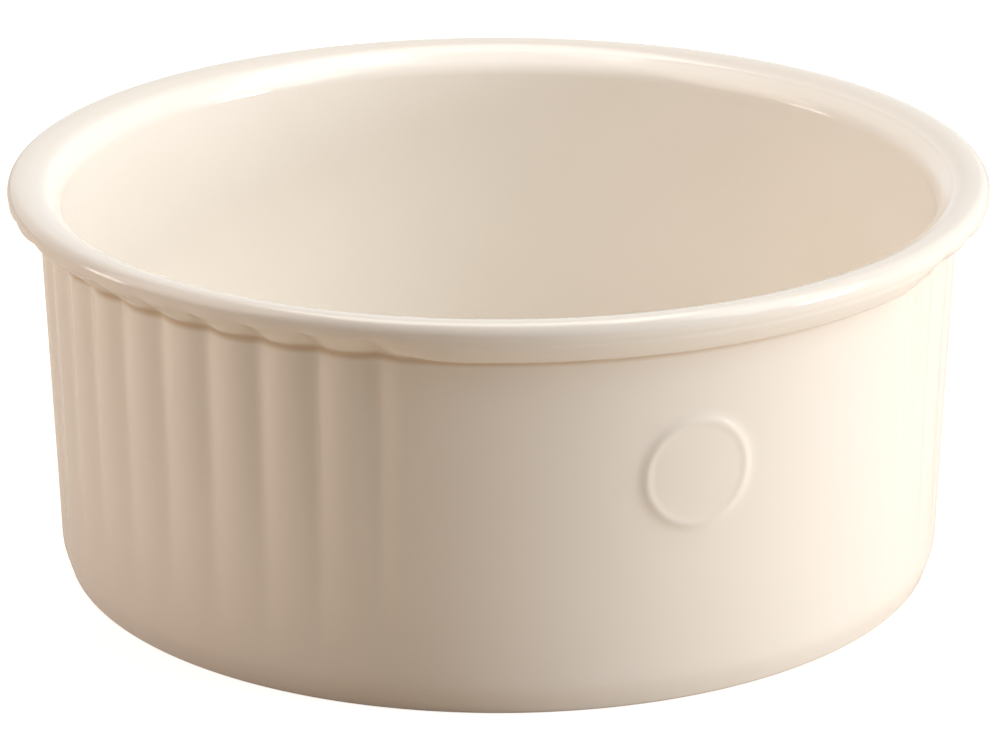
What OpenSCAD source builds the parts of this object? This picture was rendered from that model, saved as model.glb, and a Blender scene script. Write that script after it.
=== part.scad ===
// Round ribbed baking dish in glazed stoneware, formed in one piece.
// Millimetres, +Z up, origin at the middle of the foot, medallion on the -Y side.

/* [Rim] */
// Diameter over the rim
rim_d = 224; // [180:0.5:280]
// Height from the foot to the crest of the rim
height = 92; // [70:0.5:120]
// Overhang of the rim past the top of the wall
overhang = 7; // [5:0.1:9]
// Width of the rim, from its outer edge in to the mouth
rim_w = 8.4; // [7:0.1:9]
// Drop from the crest to the cove where the underside of the rim meets the wall
cove_drop = 10.2; // [8:0.1:13]
// Radius of that cove
cove_round = 1.5; // [0.5:0.1:1.5]
// Height of the outer edge of the rim, from its lower corner to the crest
lip_h = 4.4; // [3:0.1:6]
// Radius of the upper corner of that edge
lip_round = 3; // [2:0.1:4]
// Radius of its lower corner
lip_under_round = 2.5; // [1:0.1:4]
// Distance from the outer edge in to the crest
crest_in = 4.8; // [3.5:0.1:6]
// Radius of the soft crest
crest_round = 7; // [4:0.5:12]
// Drop from the crest to the inner edge of the rim
mouth_drop = 1.6; // [1:0.1:2.6]
// Radius of the soft inner edge
mouth_round = 2; // [1:0.5:8]

/* [Wall] */
// Thickness of the wall at its top, over the crowns of the ribs
wall_w = 5; // [4.2:0.1:7]
// Thickness of the wall where it meets the floor
wall_low_w = 6; // [5:0.05:8]
// How far the wall draws in from the cove down to the crease above the foot
taper = 2.75; // [1:0.05:8]
// Drop from the crest to the shoulder, where the inside turns out to the mouth
shoulder_drop = 5; // [4:0.1:8]
// Radius of that shoulder
shoulder_round = 5; // [1:0.5:8]
// Radius between wall and floor inside
floor_round = 9; // [4:0.5:16]

/* [Foot] */
// Height of the crease above the foot
crease_z = 5.8; // [4:0.1:9]
// How far the foot ring stands in from the crease
foot_in = 1.85; // [0.5:0.05:3]
// Width of the foot ring where it stands
foot_w = 5.6; // [4:0.2:9]
// Radius of the outer corner of the foot ring
foot_round = 1.2; // [0.5:0.1:2]
// Depth of the recess under the floor
recess = 2; // [1:0.1:3]
// Run of the slope between the foot ring and the recess
recess_run = 2; // [1:0.1:4]
// Thickness of the floor
floor_w = 6; // [5:0.1:9]

/* [Ribs] */
// Rib pitches in the full turn, the smooth panel counted with them
pitches = 48; // [40:2:56]
// Rib pitches left smooth for the front panel
panel_pitches = 10; // [6:2:14]
// Depth of the grooves between the ribs, just under the rim
groove_depth = 2; // [1.2:0.1:2.4]
// Height at which the grooves have died into the wall
fade_z = 8; // [6:0.5:20]
// Height above the lower corner of the rim's edge at which the scallops run out on that edge
scallop_rise = 1.2; // [0.4:0.1:1.6]

/* [Medallion] */
// Diameter of the plain medallion on the panel
seal_d = 23.4; // [18:0.2:30]
// Drop from the crest to its middle
seal_drop = 39; // [30:0.5:50]
// How far it stands out from the wall
seal_relief = 0.8; // [0.4:0.1:1.2]
// Width of the raised border round its sunk middle
seal_border = 3; // [2:0.1:5]
// How far its middle lies below the border
seal_sink = 0.3; // [0.1:0.1:0.3]

/* [Hidden] */
$fn = 192;
arc_step = 12;                      // degrees between the points of a rounded corner
air = 3;                            // how far a cutter stands out past the surface it cuts
crown_rise = 0.25;                  // how far the ribs' arcs pass over the wall at their crowns
crown_gap = 1.8;                    // gap between the cutters of neighbouring grooves
join = 0.02;                        // overlap of the two lengths of one groove
rim_r = rim_d / 2;
cove = [rim_r - overhang, height - cove_drop];
crease = [cove.x - taper, crease_z];
lip_under = [rim_r, height - lip_h];
wall_slope = taper / (cove.y - crease.y);
under_dir = unit(lip_under - cove);
floor_z = recess + floor_w;
foot_r = crease.x - foot_in;
seal_z = height - seal_drop;
pitch = 360 / pitches;

// Radius of the wall over the crowns, at height z
function wall_r(z) = crease.x + wall_slope * (z - crease.y);

function unit(v) = v / norm(v);
function wrap(a) = a > 180 ? a - 360 : a < -180 ? a + 360 : a;
function bearing(v) = atan2(v.y, v.x);

// Half the angle between the edges at corner b of the path a, b, c
function half_angle(a, b, c) = acos(unit(a - b) * unit(c - b)) / 2;

// Points of the arc of radius r that rounds corner b between a and c
function rounded(a, b, c, r) =
    let (u = unit(a - b),
         v = unit(c - b),
         half = half_angle(a, b, c),
         middle = b + unit(u + v) * r / sin(half),
         from = bearing(b + u * r / tan(half) - middle),
         turn = wrap(bearing(b + v * r / tan(half) - middle) - from),
         steps = ceil(abs(turn) / arc_step))
    [for (i = [0:steps]) middle + r * [cos(from + turn * i / steps), sin(from + turn * i / steps)]];

// Outline through corners [x, y, radius]: each is rounded, or sharp where its radius
// is 0, and two fillets that need more than the edge between them share it
function outline(corners) =
    let (n = len(corners),
         at = [for (c = corners) [c.x, c.y]],
         before = [for (i = [0:n - 1]) at[(i + n - 1) % n]],
         after = [for (i = [0:n - 1]) at[(i + 1) % n]],
         need = [for (i = [0:n - 1])
             corners[i][2] == 0 ? 0 : corners[i][2] / tan(half_angle(before[i], at[i], after[i]))],
         share = [for (i = [0:n - 1]) norm(after[i] - at[i]) / max(need[i] + need[(i + 1) % n], 0.001)],
         fit = [for (i = [0:n - 1]) min(1, 0.98 * share[i], 0.98 * share[(i + n - 1) % n])])
    [for (i = [0:n - 1])
        each need[i] == 0 ? [at[i]] : rounded(before[i], at[i], after[i], corners[i][2] * fit[i])];

// Half section of the dish, through the crowns of the ribs
section = [
    [0, recess, 0],
    [foot_r - foot_w - recess_run, recess, 0],
    [foot_r - foot_w, 0, 0],
    [foot_r, 0, foot_round],
    [crease.x, crease.y, 0],
    [cove.x, cove.y, cove_round],
    [lip_under.x, lip_under.y, lip_under_round],
    [rim_r, height, lip_round],
    [rim_r - crest_in, height, crest_round],
    [rim_r - rim_w, height - mouth_drop, mouth_round],
    [cove.x - wall_w, height - shoulder_drop, shoulder_round],
    [crease.x - wall_low_w, floor_z, floor_round],
    [0, floor_z, 0],
];

// The bottom line of a groove: it starts flush with the wall, is deepest under the
// rim, where it bends, and comes out again on the outer edge of the rim, which it scallops
groove_foot = [wall_r(fade_z), fade_z];
groove_bend = [
    cove.x - groove_depth,
    cove.y + groove_depth * (1 - under_dir.y) / under_dir.x,
];
groove_end = lip_under + [0, scallop_rise];
up_wall = unit(groove_bend - groove_foot);
out_under = unit(groove_end - groove_bend);
mitre = unit(up_wall + out_under);

// Each rib is an arc that just clears the wall at its crown, half a pitch from the
// groove, and passes through the bottom line of the grooves on both its sides
crown_r = cove.x + crown_rise;
rib_r = (pow(crown_r, 2) + pow(groove_bend.x, 2) - 2 * crown_r * groove_bend.x * cos(pitch / 2))
    / (2 * (crown_r - groove_bend.x * cos(pitch / 2)));
cutter_w = 2 * cove.x * sin(pitch / 2) - crown_gap;

// Section across a groove, with the bottom of the groove at the origin and +Y outwards
module groove_section() {
    difference() {
        translate([-cutter_w / 2, -groove_depth])
            square([cutter_w, 2 * groove_depth + air]);
        for (side = [-1, 1])
            translate([side * (crown_r - rib_r) * sin(pitch / 2),
                       (crown_r - rib_r) * cos(pitch / 2) - groove_bend.x])
                circle(r = rib_r);
    }
}

// A length of groove from point a to point b in the XZ plane, run on by air at both ends
module groove_run(a, b) {
    translate([a.x, 0, a.y])
        rotate([0, 90 - bearing(b - a), 0])
            rotate([0, 0, -90])
                translate([0, 0, -air])
                    linear_extrude(height = norm(b - a) + 2 * air)
                        groove_section();
}

// Block that ends at the mitre plane of the groove's bend, on its lower or upper side
module mitre_block(side) {
    size = 2 * height;
    translate([groove_bend.x, 0, groove_bend.y])
        rotate([0, 90 - bearing(mitre), 0])
            translate([-size / 2, -size / 2, side > 0 ? -join : join - size])
                cube(size);
}

// One whole groove: up the wall, then out along the underside of the rim
module groove() {
    intersection() {
        groove_run(groove_foot, groove_bend);
        mitre_block(-1);
    }
    intersection() {
        groove_run(groove_bend, groove_end);
        mitre_block(1);
    }
}

// All the grooves, which leave the smooth panel between the first and the last
module grooves() {
    for (i = [0:pitches - panel_pitches])
        rotate([0, 0, -90 + (panel_pitches / 2 + i) * pitch])
            groove();
}

// Round patch that follows the wall and stands out by relief
module wall_patch(d, relief) {
    low = seal_z - d / 2 - 1;
    high = seal_z + d / 2 + 1;
    inside = wall_r(low) - wall_w / 2;
    intersection() {
        rotate_extrude()
            polygon([
                [inside, low], [wall_r(low) + relief, low],
                [wall_r(high) + relief, high], [inside, high],
            ]);
        translate([0, 0, seal_z])
            rotate([90, 0, 0])
                cylinder(d = d, h = rim_r);
    }
}

// Plain medallion with a raised border
module medallion() {
    difference() {
        wall_patch(seal_d, seal_relief);
        difference() {
            wall_patch(seal_d - 2 * seal_border, seal_relief + 1);
            wall_patch(seal_d, seal_relief - seal_sink);
        }
    }
}

// The dish: ribbed wall, rolled rim with a scalloped underside, foot ring and medallion
module dish() {
    color("#F1E6D3") {
        difference() {
            rotate_extrude()
                polygon(outline(section));
            grooves();
        }
        medallion();
    }
}

dish();
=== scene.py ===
import math

import bpy
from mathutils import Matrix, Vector


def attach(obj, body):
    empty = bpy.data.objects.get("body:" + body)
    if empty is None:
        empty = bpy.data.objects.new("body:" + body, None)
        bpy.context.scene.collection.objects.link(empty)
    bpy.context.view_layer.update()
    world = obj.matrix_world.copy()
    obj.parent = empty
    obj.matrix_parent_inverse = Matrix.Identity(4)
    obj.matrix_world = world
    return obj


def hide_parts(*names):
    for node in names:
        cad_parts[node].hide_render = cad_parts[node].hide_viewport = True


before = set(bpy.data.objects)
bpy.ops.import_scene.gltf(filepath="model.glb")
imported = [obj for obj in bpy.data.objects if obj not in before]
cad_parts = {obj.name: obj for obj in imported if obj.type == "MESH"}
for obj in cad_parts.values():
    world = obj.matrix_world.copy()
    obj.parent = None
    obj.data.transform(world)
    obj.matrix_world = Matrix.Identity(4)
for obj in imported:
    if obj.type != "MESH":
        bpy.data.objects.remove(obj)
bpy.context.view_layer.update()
mm = 0.001                                   # the sizes below are in millimetres, the scene in metres


def linearColour(hexCode):                   # an sRGB hex colour in linear light
    parts = [int(hexCode[i:i + 2], 16) / 255 for i in (1, 3, 5)]
    return [c / 12.92 if c <= 0.04045 else ((c + 0.055) / 1.055) ** 2.4 for c in parts] + [1.0]


def addNode(tree, kind, values=None, links=None, **settings):
    node = tree.nodes.new(kind)
    for key, value in settings.items():
        setattr(node, key, value)
    for socket, value in (values or {}).items():
        node.inputs[socket].default_value = value
    for socket, source in (links or {}).items():
        tree.links.new(source, node.inputs[socket])
    return node


def directionOf(azimuth, elevation):         # in degrees from the dish, 0 and 0 straight out of the panel
    a, e = math.radians(azimuth), math.radians(elevation)
    return Vector((math.sin(a) * math.cos(e), -math.cos(a) * math.cos(e), math.sin(e)))


# Camera, at the photograph's angle: the medallion stands 23.4 degrees to the right of the axis
view = {
    "azimuth": -23.4,                        # degrees, 0 looks straight at the panel
    "elevation": 19.53,
    "distance": 1008.0,                      # from the camera to the point it looks at
    "aimHeight": 47.0,                       # of that point over the table
    "lens": 156.2,
    "sensor": 36.0,
    "shiftX": 0.0012,
    "shiftY": -0.0244,
    "roll": -0.0005,                         # radians
    "nearest": 50.0,                         # what the camera sees starts here
    "farthest": 20000.0,
}
aim = Vector((0, 0, view["aimHeight"] * mm))


def makeCamera(v):
    back = directionOf(v["azimuth"], v["elevation"])
    bpy.ops.object.camera_add(location=aim + back * v["distance"] * mm)
    camera = bpy.context.object
    camera.name = "photoCamera"
    camera.rotation_euler = (-back).to_track_quat("-Z", "Y").to_euler()
    camera.rotation_euler.rotate_axis("Z", v["roll"])
    camera.data.sensor_width = v["sensor"]
    camera.data.lens = v["lens"]
    camera.data.shift_x = v["shiftX"]
    camera.data.shift_y = v["shiftY"]
    camera.data.clip_start = v["nearest"] * mm
    camera.data.clip_end = v["farthest"] * mm
    bpy.context.scene.camera = camera


makeCamera(view)
print("camera ready")

# The dish, one body of clay: floor, wall, rolled rim and foot ring
dishShape = {
    "rimRadius": 112.0,
    "height": 92.0,
    "overhang": 7.0,                         # rim past the top of the wall
    "rimWidth": 8.4,
    "coveDrop": 10.2,                        # from the crest to where the rim's underside meets the wall
    "coveRound": 1.2,
    "lipHeight": 4.4,                        # of the rim's outer edge
    "lipRound": 2.6,
    "lipUnderRound": 2.5,
    "crestIn": 4.8,                          # from the outer edge in to the crest
    "crestRound": 7.0,
    "mouthDrop": 1.6,
    "mouthRound": 2.0,
    "wall": 5.0,                             # thickness at the top
    "wallLow": 6.0,                          # and at the floor
    "taper": 2.75,                           # the wall draws in by this, down to the crease above the foot
    "shoulderDrop": 5.0,                     # where the inside turns out to the mouth
    "shoulderRound": 5.0,
    "floorRound": 9.0,
    "floor": 8.0,                            # height of the cooking floor
    "creaseHeight": 5.8,
    "creaseRound": 9.0,
    "footIn": 1.85,                          # from the crease in to the foot ring
    "footWidth": 5.6,
    "footRound": 1.2,
    "recess": 2.0,
    "recessRun": 2.0,
    "recessRound": 0.8,
    "arcStep": 8.0,                          # degrees between the points of a rounded corner
    "rimRows": 1.0,                          # longest step where the rim overhangs the wall
    "rows": 3.0,                             # up the outside of the wall
    "wideRows": 8.0,                         # and elsewhere
    "columns": 576,                          # round the dish, 12 to a rib
    "skin": 1.0,                             # points down to this far inside the outer face belong to it
}
ribs = {
    "pitches": 48,
    "panelPitches": 10,                      # the smooth panel takes ten of them, an even number
    "depth": 2.0,                            # of the grooves, just under the rim
    "fade": 8.0,                             # height at which they have died away
    "edge": 0.3,                             # share of the depth left at the lower corner of the rim's edge
    "rise": 1.8,                             # the scallops die away this far up that edge
    "pool": 1.0,                             # glaze rounds the bottoms of the grooves over this half width
}
underside = {                                # of the rim over the panel, where no scallops cut it
    "fullness": 1.9,                         # how far it swells out
    "arch": 1.3,                             # power of its curve, 1 a ridge and 2 a round
    "fade": 1.2,                             # pitches over which it dies away towards the ribs
}


def levelled(part):                          # runs from 0 to 1, level at both ends
    part = min(1, max(0, part))
    return part * part * (3 - 2 * part)


def roundedOutline(corners, arcStep):        # corners are (x, z, radius), sharp where the radius is 0
    points = []
    count = len(corners)
    for i, (x, z, radius) in enumerate(corners):
        here = Vector((x, z))
        if radius == 0:
            points.append(here)
            continue
        u = (Vector(corners[i - 1][:2]) - here).normalized()                # towards the corner before
        v = (Vector(corners[(i + 1) % count][:2]) - here).normalized()      # and the one after
        half = u.angle(v) / 2
        middle = here + (u + v).normalized() * radius / math.sin(half)
        start = here + u * radius / math.tan(half) - middle
        end = here + v * radius / math.tan(half) - middle
        turn = start.angle_signed(end)
        steps = math.ceil(abs(math.degrees(turn)) / arcStep)
        for k in range(steps + 1):
            a = math.atan2(start.y, start.x) - turn * k / steps
            points.append(middle + radius * Vector((math.cos(a), math.sin(a))))
    return points


def dishOutline(s):                          # half section through the crowns of the ribs
    coveX = s["rimRadius"] - s["overhang"]
    creaseX = coveX - s["taper"]
    footX = creaseX - s["footIn"]
    top = s["height"]
    return [
        (0, s["recess"], 0),
        (footX - s["footWidth"] - s["recessRun"], s["recess"], s["recessRound"]),
        (footX - s["footWidth"], 0, s["recessRound"]),
        (footX, 0, s["footRound"]),
        (creaseX, s["creaseHeight"], s["creaseRound"]),
        (coveX, top - s["coveDrop"], s["coveRound"]),
        (s["rimRadius"], top - s["lipHeight"], s["lipUnderRound"]),
        (s["rimRadius"], top, s["lipRound"]),
        (s["rimRadius"] - s["crestIn"], top, s["crestRound"]),
        (s["rimRadius"] - s["rimWidth"], top - s["mouthDrop"], s["mouthRound"]),
        (coveX - s["wall"], top - s["shoulderDrop"], s["shoulderRound"]),
        (creaseX - s["wallLow"], s["floor"], s["floorRound"]),
        (0, s["floor"], 0),
    ]


def withRows(points, s):                     # shorter steps on the outside, where the ribs need them
    full = [points[0]]
    wallTop = s["rimRadius"] - s["overhang"]
    for a, b in zip(points, points[1:]):
        inner = min(a.x, b.x)
        if inner > wallTop:
            step = s["rimRows"]
        elif inner > wallTop - s["taper"] - s["skin"]:
            step = s["rows"]
        else:
            step = s["wideRows"]
        count = max(1, math.ceil((b - a).length / step))
        full += [a.lerp(b, k / count) for k in range(1, count + 1)]
    return full


def spinOutline(name, points, columns):      # turns an outline in the XZ plane once round Z
    bpy.ops.object.select_all(action="DESELECT")
    bpy.ops.mesh.primitive_plane_add(size=mm, location=(0, 0, 0))
    piece = bpy.context.object
    piece.name = name
    piece.data.name = name
    bpy.ops.object.mode_set(mode="EDIT")
    bpy.ops.mesh.merge(type="CENTER")        # leaves one point, which the outline is drawn from
    bpy.ops.transform.translate(value=(points[0].x * mm, 0, points[0].y * mm))
    for a, b in zip(points, points[1:]):
        step = ((b.x - a.x) * mm, 0, (b.y - a.y) * mm)
        bpy.ops.mesh.extrude_region_move(TRANSFORM_OT_translate={"value": step})
    bpy.ops.mesh.select_all(action="SELECT")
    bpy.ops.mesh.spin(steps=columns, angle=2 * math.pi, center=(0, 0, 0), axis=(0, 0, 1))
    bpy.ops.mesh.select_all(action="SELECT")
    bpy.ops.mesh.remove_doubles(threshold=0.01 * mm)   # closes the seam and the poles
    bpy.ops.mesh.normals_make_consistent(inside=False)
    bpy.ops.object.mode_set(mode="OBJECT")
    return piece


def grooveAlong(radius, z, s, r):            # share of the depth along a groove, at a height and radius
    coveX = s["rimRadius"] - s["overhang"]
    coveZ = s["height"] - s["coveDrop"]
    lipZ = s["height"] - s["lipHeight"]
    wallX = coveX - s["taper"] * (coveZ - z) / (coveZ - s["creaseHeight"])
    if r["fade"] < z < coveZ and radius > wallX - s["skin"]:
        return (z - r["fade"]) / (coveZ - r["fade"])
    if coveZ <= z < lipZ and radius > coveX - s["skin"]:
        run = math.hypot(s["overhang"], lipZ - coveZ)
        return max(0, 1 - (1 - r["edge"]) * math.hypot(radius - coveX, z - coveZ) / run)
    if lipZ <= z < lipZ + r["rise"] and radius > coveX:
        return r["edge"] * (1 - (z - lipZ) / r["rise"])
    return 0


def grooveAcross(pitchesOut, s, r):          # and across it: each rib is an arc between two grooves
    if pitchesOut < (r["panelPitches"] - 1) / 2:
        return 0
    offset = abs((pitchesOut + 0.5) % 1 - 0.5) * 2          # 0 in a groove, 1 on a crown
    halfPitch = (s["rimRadius"] - s["overhang"]) * math.sin(math.pi / r["pitches"])
    soft = r["pool"] / halfPitch
    softened = math.sqrt((offset ** 2 + soft ** 2) / (1 + soft ** 2))
    arc = (halfPitch ** 2 + r["depth"] ** 2) / (2 * r["depth"])
    drop = arc - math.sqrt(arc ** 2 - (halfPitch * (1 - softened)) ** 2)
    return drop / r["depth"]


def pitchesFromPanel(x, y, r):               # 0 at the medallion, half of all pitches at the back
    return abs(math.degrees(math.atan2(x, -y))) * r["pitches"] / 360


def grooveWeight(x, y, z, s, r):             # share of the full groove depth at a point, in millimetres
    return grooveAlong(math.hypot(x, y), z, s, r) * grooveAcross(pitchesFromPanel(x, y, r), s, r)


def fullWeight(x, y, z, s, r, u):            # share of the full underside at a point, none at the ribs
    up = (z - s["height"] + s["coveDrop"]) / (s["coveDrop"] - s["lipHeight"])
    if math.hypot(x, y) <= s["rimRadius"] - s["overhang"] or not 0 <= up <= 1:
        return 0
    inPanel = (r["panelPitches"] / 2 - pitchesFromPanel(x, y, r)) / u["fade"]
    return (1 - abs(2 * up - 1) ** u["arch"]) * levelled(inPanel)


def displaceBy(piece, groupName, weightOf, strength):
    group = piece.vertex_groups.new(name=groupName)
    for vertex in piece.data.vertices:
        weight = weightOf(*(vertex.co / mm))
        if weight > 0:
            group.add([vertex.index], weight, "REPLACE")
    press = piece.modifiers.new(groupName, "DISPLACE")
    press.direction = "NORMAL"
    press.vertex_group = groupName
    press.mid_level = 0
    press.strength = strength * mm
    bpy.context.view_layer.objects.active = piece
    bpy.ops.object.modifier_apply(modifier=groupName)
    piece.vertex_groups.clear()


def makeDish(s, r, u):
    points = withRows(roundedOutline(dishOutline(s), s["arcStep"]), s)
    dish = spinOutline("bakingDish", points, s["columns"])
    displaceBy(dish, "fullUnderside", lambda x, y, z: fullWeight(x, y, z, s, r, u), u["fullness"])
    displaceBy(dish, "grooves", lambda x, y, z: grooveWeight(x, y, z, s, r), -r["depth"])
    bpy.ops.object.select_all(action="DESELECT")
    dish.select_set(True)
    bpy.ops.object.shade_smooth()
    return dish


dish = makeDish(dishShape, ribs, underside)
print("dish ready:", len(dish.data.vertices), "vertices")

# The plain medallion, a low pad with a soft raised border that the glaze blends into the wall
medallionShape = {
    "height": 53.5,                          # of its middle above the table
    "turn": 0.4,                             # degrees to the right of the panel's middle
    "stand": 0.4,                            # how far its middle stands out from the wall
    "padRadius": 12.85,                      # it has half that height left here
    "padSoft": 0.6,                          # and dies away over a few times this
    "borderRadius": 11.6,
    "borderRise": 0.17,                      # of the border over the pad
    "borderWidth": 1.0,                      # to each side
    "sunk": 0.003,                           # its outer edge lies this far inside the wall, out of sight
    "even": 9.0,                             # radius of the flat middle
    "reach": 17.3,                           # radius of the whole piece
    "rings": 28,                             # from the flat middle to there
    "depth": 2.0,                            # it reaches this far into the wall
    "columns": 96,
}


def standOut(radius, m):                     # how far the medallion stands out from the wall
    pad = m["stand"] / (1 + math.exp((radius - m["padRadius"]) / m["padSoft"]))
    border = m["borderRise"] * math.exp(-((radius - m["borderRadius"]) / m["borderWidth"]) ** 2)
    return pad + border - m["sunk"]


def makeMedallion(m, s):
    radii = [m["even"] * k / 3 for k in range(3)]
    radii += [m["even"] + (m["reach"] - m["even"]) * k / m["rings"] for k in range(m["rings"] + 1)]
    outline = [Vector((radius, standOut(radius, m))) for radius in radii]
    outline += [Vector((m["reach"], -m["depth"])), Vector((0, -m["depth"]))]
    pad = spinOutline("medallion", outline, m["columns"])
    bpy.ops.object.select_all(action="DESELECT")
    pad.select_set(True)
    pad.rotation_euler = (math.pi / 2, 0, 0)
    pad.location = (0, 0, m["height"] * mm)
    bpy.ops.object.transform_apply(location=True, rotation=True, scale=True)
    coveX = s["rimRadius"] - s["overhang"]
    coveZ = s["height"] - s["coveDrop"]
    slope = s["taper"] / (coveZ - s["creaseHeight"])
    for vertex in pad.data.vertices:         # bend it round the wall, which leans out as it rises
        x, y, z = vertex.co / mm
        wall = coveX - slope * (coveZ - z)
        vertex.co.y = (y - math.sqrt(wall ** 2 - x ** 2)) * mm
    pad.rotation_euler = (0, 0, math.radians(m["turn"]))
    bpy.ops.object.transform_apply(location=True, rotation=True, scale=True)
    bpy.ops.object.shade_smooth()
    return pad


medallion = makeMedallion(medallionShape, dishShape)
print("medallion ready")

# Cream gloss glaze, dipped over pale stoneware and fired: a smooth glassy coat over an even warm body
glaze = {
    "colour": "#FAF5EE",
    "deepColour": "#F7F0E6",                 # where the coat lies thicker
    "cloud": 45.0,                           # size of the faint clouds between the two
    "roughness": 0.12,
    "ior": 1.5,
    "ripple": 14.0,                          # spacing of the glaze's long ripple
    "rippleHeight": 0.012,
    "rimShadeColour": "#E7DFD5",                  # painted shade over the top of the rim
    "rimShadeFrom": 2.5,                         # the painted shade begins this far under the crest
    "rimShadeFull": 0.5,                         # and is full from here up
    "coveShadeColour": "#D8C3A8",                 # painted shade in the cove under the rim
    "coveShadeWidth": 1.7,                        # to each side
    "coveShadeDeep": 3.0,                         # down to this far inside the wall's face, so in the grooves too
    "clay": "#E6D8C4",                       # bare clay of the foot ring, wiped before firing
    "clayTop": 0.5,                          # the bare ring ends at this height
    "clayRoughness": 0.8,
}
share, first, second, mixed = 0, 6, 7, 2     # sockets of a Mix node that mixes colours


def makeGlaze(g, s):
    material = bpy.data.materials.new("creamGlaze")
    material.use_nodes = True
    tree = material.node_tree
    tree.nodes.clear()
    place = addNode(tree, "ShaderNodeTexCoord").outputs["Object"]
    height = addNode(tree, "ShaderNodeSeparateXYZ", None, {"Vector": place}).outputs["Z"]

    # Faint clouds in the colour and a long ripple in the surface
    clouds = addNode(tree, "ShaderNodeTexNoise",
                     {"Scale": 1 / (g["cloud"] * mm), "Detail": 3}, {"Vector": place})
    body = addNode(tree, "ShaderNodeMix",
                   {first: linearColour(g["colour"]), second: linearColour(g["deepColour"])},
                   {share: clouds.outputs["Fac"]}, data_type="RGBA")
    ripple = addNode(tree, "ShaderNodeTexNoise",
                     {"Scale": 1 / (g["ripple"] * mm), "Detail": 1}, {"Vector": place})
    bump = addNode(tree, "ShaderNodeBump",
                   {"Distance": g["rippleHeight"] * mm}, {"Height": ripple.outputs["Fac"]})

    # Painted shade over the top of the rim, darker by height
    rimShade = addNode(tree, "ShaderNodeMapRange",
                   {"From Min": (s["height"] - g["rimShadeFrom"]) * mm,
                    "From Max": (s["height"] - g["rimShadeFull"]) * mm},
                   {"Value": height}, interpolation_type="SMOOTHSTEP")
    # the top of the rim takes a darker colour here: painted shade
    rim = addNode(tree, "ShaderNodeMix", {second: linearColour(g["rimShadeColour"])},
                  {share: rimShade.outputs[0], first: body.outputs[mixed]}, data_type="RGBA")

    # Painted shade in the cove under the rim, on the outside only
    coveX = s["rimRadius"] - s["overhang"]
    coveZ = s["height"] - s["coveDrop"]
    flat = addNode(tree, "ShaderNodeVectorMath", {1: (1, 1, 0)}, {0: place}, operation="MULTIPLY")
    radius = addNode(tree, "ShaderNodeVectorMath", None, {0: flat.outputs[0]}, operation="LENGTH")
    outside = addNode(tree, "ShaderNodeMath", {1: (coveX - g["coveShadeDeep"]) * mm},
                      {0: radius.outputs["Value"]}, operation="GREATER_THAN")
    offset = addNode(tree, "ShaderNodeMath", {1: coveZ * mm}, {0: height}, operation="SUBTRACT")
    distance = addNode(tree, "ShaderNodeMath", None, {0: offset.outputs[0]}, operation="ABSOLUTE")
    near = addNode(tree, "ShaderNodeMapRange",
                   {"From Min": g["coveShadeWidth"] * mm, "From Max": 0.0}, {"Value": distance.outputs[0]},
                   interpolation_type="SMOOTHSTEP")
    coveShade = addNode(tree, "ShaderNodeMath", None, {0: near.outputs[0], 1: outside.outputs[0]},
                       operation="MULTIPLY")
    # the cove takes a darker, warmer colour here: painted shade
    coat = addNode(tree, "ShaderNodeMix", {second: linearColour(g["coveShadeColour"])},
                   {share: coveShade.outputs[0], first: rim.outputs[mixed]}, data_type="RGBA")

    # None on the ring that the dish stands on
    bare = addNode(tree, "ShaderNodeMath", {1: g["clayTop"] * mm}, {0: height}, operation="LESS_THAN")
    surface = addNode(tree, "ShaderNodeMix", {second: linearColour(g["clay"])},
                      {share: bare.outputs[0], first: coat.outputs[mixed]}, data_type="RGBA")
    rough = addNode(tree, "ShaderNodeMapRange",
                    {"To Min": g["roughness"], "To Max": g["clayRoughness"]}, {"Value": bare.outputs[0]})
    shader = addNode(tree, "ShaderNodeBsdfPrincipled", {"IOR": g["ior"]},
                     {"Base Color": surface.outputs[mixed], "Roughness": rough.outputs[0],
                      "Normal": bump.outputs[0]})
    addNode(tree, "ShaderNodeOutputMaterial", None, {"Surface": shader.outputs[0]})
    return material


creamGlaze = makeGlaze(glaze, dishShape)
for piece in (dish, medallion):
    piece.data.materials.clear()
    piece.data.materials.append(creamGlaze)
    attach(piece, "root")
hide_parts("dish")
print("glaze ready")

# Studio: a pale floor, a white background and soft lamps, white from the right and warmer in the shadows
studio = {
    "floorColour": "#CABBAA",
    "floorSize": 6000.0,
    "floorGlow": 0.85,                       # added to the lit paper for the camera, so that it is white
    "floorMirrored": 0.25,                   # and as much as makes it white in reflections too
    "ambient": 0.0,                          # of the white room on matt surfaces
    "lampDistance": 1300.0,                  # from the middle of the dish
    "lamps": [                               # name, azimuth from the camera, elevation, size, watts, colour
        ("keyRight", 73, 35, 900, 8.2, "#FFFFFF"),
        ("highRight", 90, 65, 600, 3.2, "#FFFFFF"),
        ("lowRight", 75, 5, 300, 7.6, "#FFFFFF"),
        ("overhead", 180, 76, 900, 8.2, "#FFFFFC"),
        ("fillLeft", -78, 30, 1000, 6.3, "#FFEADA"),
        ("highLeft", -90, 65, 600, 0.6, "#FFECD4"),
        ("lowLeft", -95, 5, 300, 1.6, "#FFFAF5"),
    ],
}


def seenBy(rays, tree):                      # 1 for what the camera sees, straight or in a reflection
    seen = addNode(tree, "ShaderNodeMath", None,
                   {0: rays.outputs["Is Camera Ray"], 1: rays.outputs["Is Glossy Ray"]}, operation="MAXIMUM")
    through = addNode(tree, "ShaderNodeMath", None,
                      {0: seen.outputs[0], 1: rays.outputs["Is Transmission Ray"]}, operation="MAXIMUM")
    return through.outputs[0]


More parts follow.
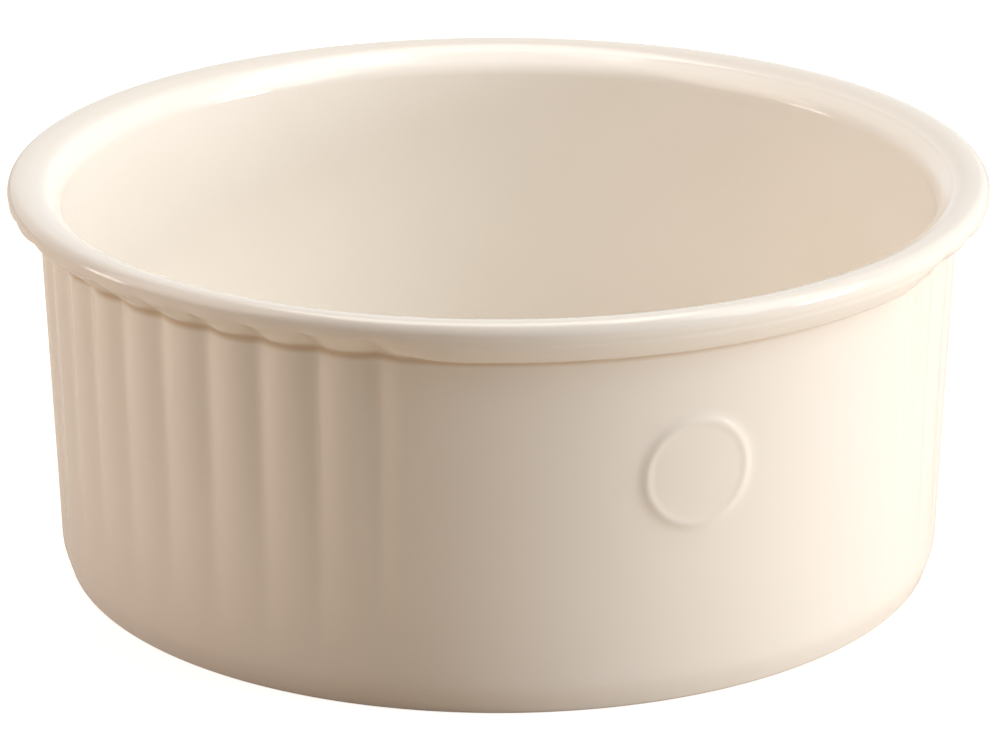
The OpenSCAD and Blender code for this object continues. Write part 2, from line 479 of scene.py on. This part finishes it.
def makeFloor(st):
    bpy.ops.mesh.primitive_plane_add(size=st["floorSize"] * mm, location=(0, 0, 0))
    floor = bpy.context.object
    floor.name = "floor"
    paper = bpy.data.materials.new("palePaper")
    paper.use_nodes = True
    tree = paper.node_tree
    tree.nodes.clear()
    rays = addNode(tree, "ShaderNodeLightPath")
    matt = addNode(tree, "ShaderNodeBsdfDiffuse", {"Color": linearColour(st["floorColour"])})
    level = addNode(tree, "ShaderNodeMapRange",
                    {"To Min": st["floorMirrored"], "To Max": st["floorGlow"]},
                    {"Value": rays.outputs["Is Camera Ray"]})
    glow = addNode(tree, "ShaderNodeEmission", None, {"Strength": level.outputs[0]})
    lit = addNode(tree, "ShaderNodeAddShader", None, {0: matt.outputs[0], 1: glow.outputs[0]})
    shown = addNode(tree, "ShaderNodeMixShader", None,
                    {0: seenBy(rays, tree), 1: matt.outputs[0], 2: lit.outputs[0]})
    addNode(tree, "ShaderNodeOutputMaterial", None, {"Surface": shown.outputs[0]})
    floor.data.materials.append(paper)


def makeRoom(st):
    world = bpy.data.worlds.new("whiteStudio")
    bpy.context.scene.world = world
    world.use_nodes = True
    tree = world.node_tree
    tree.nodes.clear()
    rays = addNode(tree, "ShaderNodeLightPath")
    level = addNode(tree, "ShaderNodeMapRange",
                    {"To Min": st["ambient"], "To Max": 1.0}, {"Value": seenBy(rays, tree)})
    sky = addNode(tree, "ShaderNodeBackground", {"Color": (1, 1, 1, 1)}, {"Strength": level.outputs[0]})
    addNode(tree, "ShaderNodeOutputWorld", None, {"Surface": sky.outputs[0]})


def makeLamps(st, v):                        # square area lamps, each facing the dish
    for name, azimuth, elevation, size, watts, colour in st["lamps"]:
        away = directionOf(azimuth + v["azimuth"], elevation)
        bpy.ops.object.light_add(type="AREA", location=aim + away * st["lampDistance"] * mm)
        lamp = bpy.context.object
        lamp.name = name
        lamp.rotation_euler = (-away).to_track_quat("-Z", "Y").to_euler()
        lamp.data.size = size * mm
        lamp.data.energy = watts
        lamp.data.color = linearColour(colour)[:3]


makeFloor(studio)
makeRoom(studio)
makeLamps(studio, view)
bpy.context.scene.view_settings.view_transform = "Standard"
print("studio ready")
